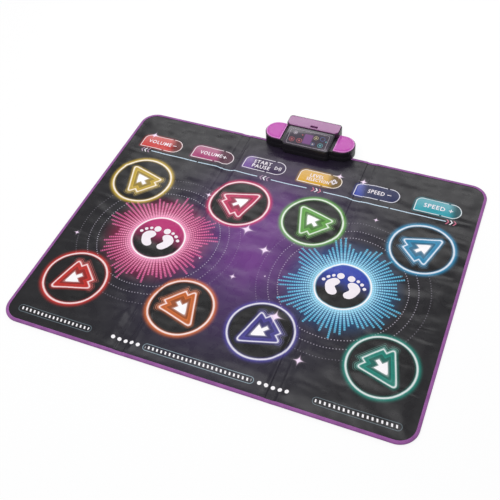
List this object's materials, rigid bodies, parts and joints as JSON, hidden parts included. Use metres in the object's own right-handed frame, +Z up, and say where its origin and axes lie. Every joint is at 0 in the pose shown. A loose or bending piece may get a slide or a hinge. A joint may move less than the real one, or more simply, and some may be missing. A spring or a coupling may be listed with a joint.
{
  "type": "foldable electronic dance mat",
  "caption": "Foldable padded floor mat with printed foot pads for two dancers, and a battery console with display, light lenses and a flip-up phone rest at its back edge.",
  "frame": {"origin": "centre of the mat's underside, on the floor", "axes": "+X to the dancers' right across the mat, +Y towards the console, +Z up"},
  "size_m": [1.2, 1.0255, 0.0647],
  "materials": {
    "printed_vinyl": "satin printed PVC sheet",
    "underside_sheet": "matt non-slip sheet",
    "sensor_film": "printed conductor film",
    "foam": "closed-cell foam",
    "purple_binding": "woven edging tape",
    "pad_cover": "satin printed PVC over foam",
    "black_housing": "moulded, fine satin grain",
    "magenta_gloss": "glossy moulded",
    "smoked_window": "smoked clear plastic",
    "circuit_board": "solder mask",
    "speaker_black": "paper cone and steel basket",
    "battery_cell": "wrapped steel can",
    "plated_steel": "zinc plated",
    "switch_plastic": "moulded",
    "rubber_foot": "matt rubber"
  },
  "bodies": {
    "centre_panel": {"centre_base_sheet": "underside_sheet", "centre_sensor_film": "sensor_film", "centre_foam_layer": "foam", "centre_top_sheet": "printed_vinyl", "centre_front_binding": "purple_binding", "centre_back_binding": "purple_binding", "console_lower_housing": "black_housing", "console_upper_housing": "black_housing", "display_window": "smoked_window", "display_board": "circuit_board", "left_light_lens": "magenta_gloss", "right_light_lens": "magenta_gloss", "phone_rest_pin": "plated_steel", "battery_1": "battery_cell", "battery_2": "battery_cell", "battery_3": "battery_cell", "left_battery_contact": "plated_steel", "right_battery_contact": "plated_steel", "power_switch_body": "switch_plastic", "speaker": "speaker_black", "main_board": "circuit_board", "ribbon_tail": "sensor_film", "clamp_plate": "plated_steel", "clamp_screw_1": "plated_steel", "clamp_screw_2": "plated_steel", "clamp_screw_3": "plated_steel", "clamp_screw_4": "plated_steel", "left_housing_screw": "plated_steel", "right_housing_screw": "plated_steel", "left_console_foot": "rubber_foot", "right_console_foot": "rubber_foot"},
    "left_band": {"left_fold_band": "printed_vinyl"},
    "left_panel": {"left_base_sheet": "underside_sheet", "left_sensor_film": "sensor_film", "left_foam_layer": "foam", "left_top_sheet": "printed_vinyl", "left_binding": "purple_binding"},
    "right_band": {"right_fold_band": "printed_vinyl"},
    "right_panel": {"right_base_sheet": "underside_sheet", "right_sensor_film": "sensor_film", "right_foam_layer": "foam", "right_top_sheet": "printed_vinyl", "right_binding": "purple_binding"},
    "back_far_left_arrow_pad": {"back_far_left_arrow_pad": "pad_cover"},
    "back_left_arrow_pad": {"back_left_arrow_pad": "pad_cover"},
    "back_right_arrow_pad": {"back_right_arrow_pad": "pad_cover"},
    "back_far_right_arrow_pad": {"back_far_right_arrow_pad": "pad_cover"},
    "front_far_left_arrow_pad": {"front_far_left_arrow_pad": "pad_cover"},
    "front_left_arrow_pad": {"front_left_arrow_pad": "pad_cover"},
    "front_right_arrow_pad": {"front_right_arrow_pad": "pad_cover"},
    "front_far_right_arrow_pad": {"front_far_right_arrow_pad": "pad_cover"},
    "volume_down_pad": {"volume_down_pad": "pad_cover"},
    "volume_up_pad": {"volume_up_pad": "pad_cover"},
    "start_pause_pad": {"start_pause_pad": "pad_cover"},
    "level_select_pad": {"level_select_pad": "pad_cover"},
    "speed_down_pad": {"speed_down_pad": "pad_cover"},
    "speed_up_pad": {"speed_up_pad": "pad_cover"},
    "phone_rest": {"phone_rest": "magenta_gloss"},
    "battery_door": {"battery_door": "black_housing"},
    "power_switch": {"power_switch_knob": "switch_plastic"}
  },
  "joints": [
    {"name": "left_fold", "type": "hinge", "parent": "centre_panel", "child": "left_band", "pos_m": [-0.205, 0, 0.006], "axis": [0, 1, 0], "range_deg": [0, 90]},
    {"name": "left_panel_fold", "type": "hinge", "parent": "left_band", "child": "left_panel", "pos_m": [-0.237, 0, 0.006], "axis": [0, 1, 0], "range_deg": [0, 78]},
    {"name": "right_fold", "type": "hinge", "parent": "centre_panel", "child": "right_band", "pos_m": [0.205, 0, 0.006], "axis": [0, -1, 0], "range_deg": [0, 90]},
    {"name": "right_panel_fold", "type": "hinge", "parent": "right_band", "child": "right_panel", "pos_m": [0.237, 0, 0.006], "axis": [0, -1, 0], "range_deg": [0, 27]},
    {"name": "back_far_left_arrow_press", "type": "slide", "parent": "left_panel", "child": "back_far_left_arrow_pad", "axis": [0, 0, -1], "range_m": [0, 0.0012], "stiffness_N_per_m": 4000, "springref_m": -0.0005},
    {"name": "back_left_arrow_press", "type": "slide", "parent": "centre_panel", "child": "back_left_arrow_pad", "axis": [0, 0, -1], "range_m": [0, 0.0012], "stiffness_N_per_m": 4000, "springref_m": -0.0005},
    {"name": "back_right_arrow_press", "type": "slide", "parent": "centre_panel", "child": "back_right_arrow_pad", "axis": [0, 0, -1], "range_m": [0, 0.0012], "stiffness_N_per_m": 4000, "springref_m": -0.0005},
    {"name": "back_far_right_arrow_press", "type": "slide", "parent": "right_panel", "child": "back_far_right_arrow_pad", "axis": [0, 0, -1], "range_m": [0, 0.0012], "stiffness_N_per_m": 4000, "springref_m": -0.0005},
    {"name": "front_far_left_arrow_press", "type": "slide", "parent": "left_panel", "child": "front_far_left_arrow_pad", "axis": [0, 0, -1], "range_m": [0, 0.0012], "stiffness_N_per_m": 4000, "springref_m": -0.0005},
    {"name": "front_left_arrow_press", "type": "slide", "parent": "centre_panel", "child": "front_left_arrow_pad", "axis": [0, 0, -1], "range_m": [0, 0.0012], "stiffness_N_per_m": 4000, "springref_m": -0.0005},
    {"name": "front_right_arrow_press", "type": "slide", "parent": "centre_panel", "child": "front_right_arrow_pad", "axis": [0, 0, -1], "range_m": [0, 0.0012], "stiffness_N_per_m": 4000, "springref_m": -0.0005},
    {"name": "front_far_right_arrow_press", "type": "slide", "parent": "right_panel", "child": "front_far_right_arrow_pad", "axis": [0, 0, -1], "range_m": [0, 0.0012], "stiffness_N_per_m": 4000, "springref_m": -0.0005},
    {"name": "volume_down_press", "type": "slide", "parent": "left_panel", "child": "volume_down_pad", "axis": [0, 0, -1], "range_m": [0, 0.0012], "stiffness_N_per_m": 4000, "springref_m": -0.0005},
    {"name": "volume_up_press", "type": "slide", "parent": "left_panel", "child": "volume_up_pad", "axis": [0, 0, -1], "range_m": [0, 0.0012], "stiffness_N_per_m": 4000, "springref_m": -0.0005},
    {"name": "start_pause_press", "type": "slide", "parent": "centre_panel", "child": "start_pause_pad", "axis": [0, 0, -1], "range_m": [0, 0.0012], "stiffness_N_per_m": 4000, "springref_m": -0.0005},
    {"name": "level_select_press", "type": "slide", "parent": "centre_panel", "child": "level_select_pad", "axis": [0, 0, -1], "range_m": [0, 0.0012], "stiffness_N_per_m": 4000, "springref_m": -0.0005},
    {"name": "speed_down_press", "type": "slide", "parent": "right_panel", "child": "speed_down_pad", "axis": [0, 0, -1], "range_m": [0, 0.0012], "stiffness_N_per_m": 4000, "springref_m": -0.0005},
    {"name": "speed_up_press", "type": "slide", "parent": "right_panel", "child": "speed_up_pad", "axis": [0, 0, -1], "range_m": [0, 0.0012], "stiffness_N_per_m": 4000, "springref_m": -0.0005},
    {"name": "phone_rest_tilt", "type": "hinge", "parent": "centre_panel", "child": "phone_rest", "pos_m": [0, 0.5454, 0.0611], "axis": [1, 0, 0], "range_deg": [-100, 0]},
    {"name": "battery_door_slide", "type": "slide", "parent": "centre_panel", "child": "battery_door", "axis": [0, 1, 0], "range_m": [0, 0.045]},
    {"name": "power_switch_slide", "type": "slide", "parent": "centre_panel", "child": "power_switch", "axis": [1, 0, 0], "range_m": [0, 0.005]}
  ],
  "couplings": [
    {"joint": "left_panel_fold", "follows": "left_fold", "ratio": 0.8666},
    {"joint": "right_panel_fold", "follows": "right_fold", "ratio": 0.3}
  ]
}
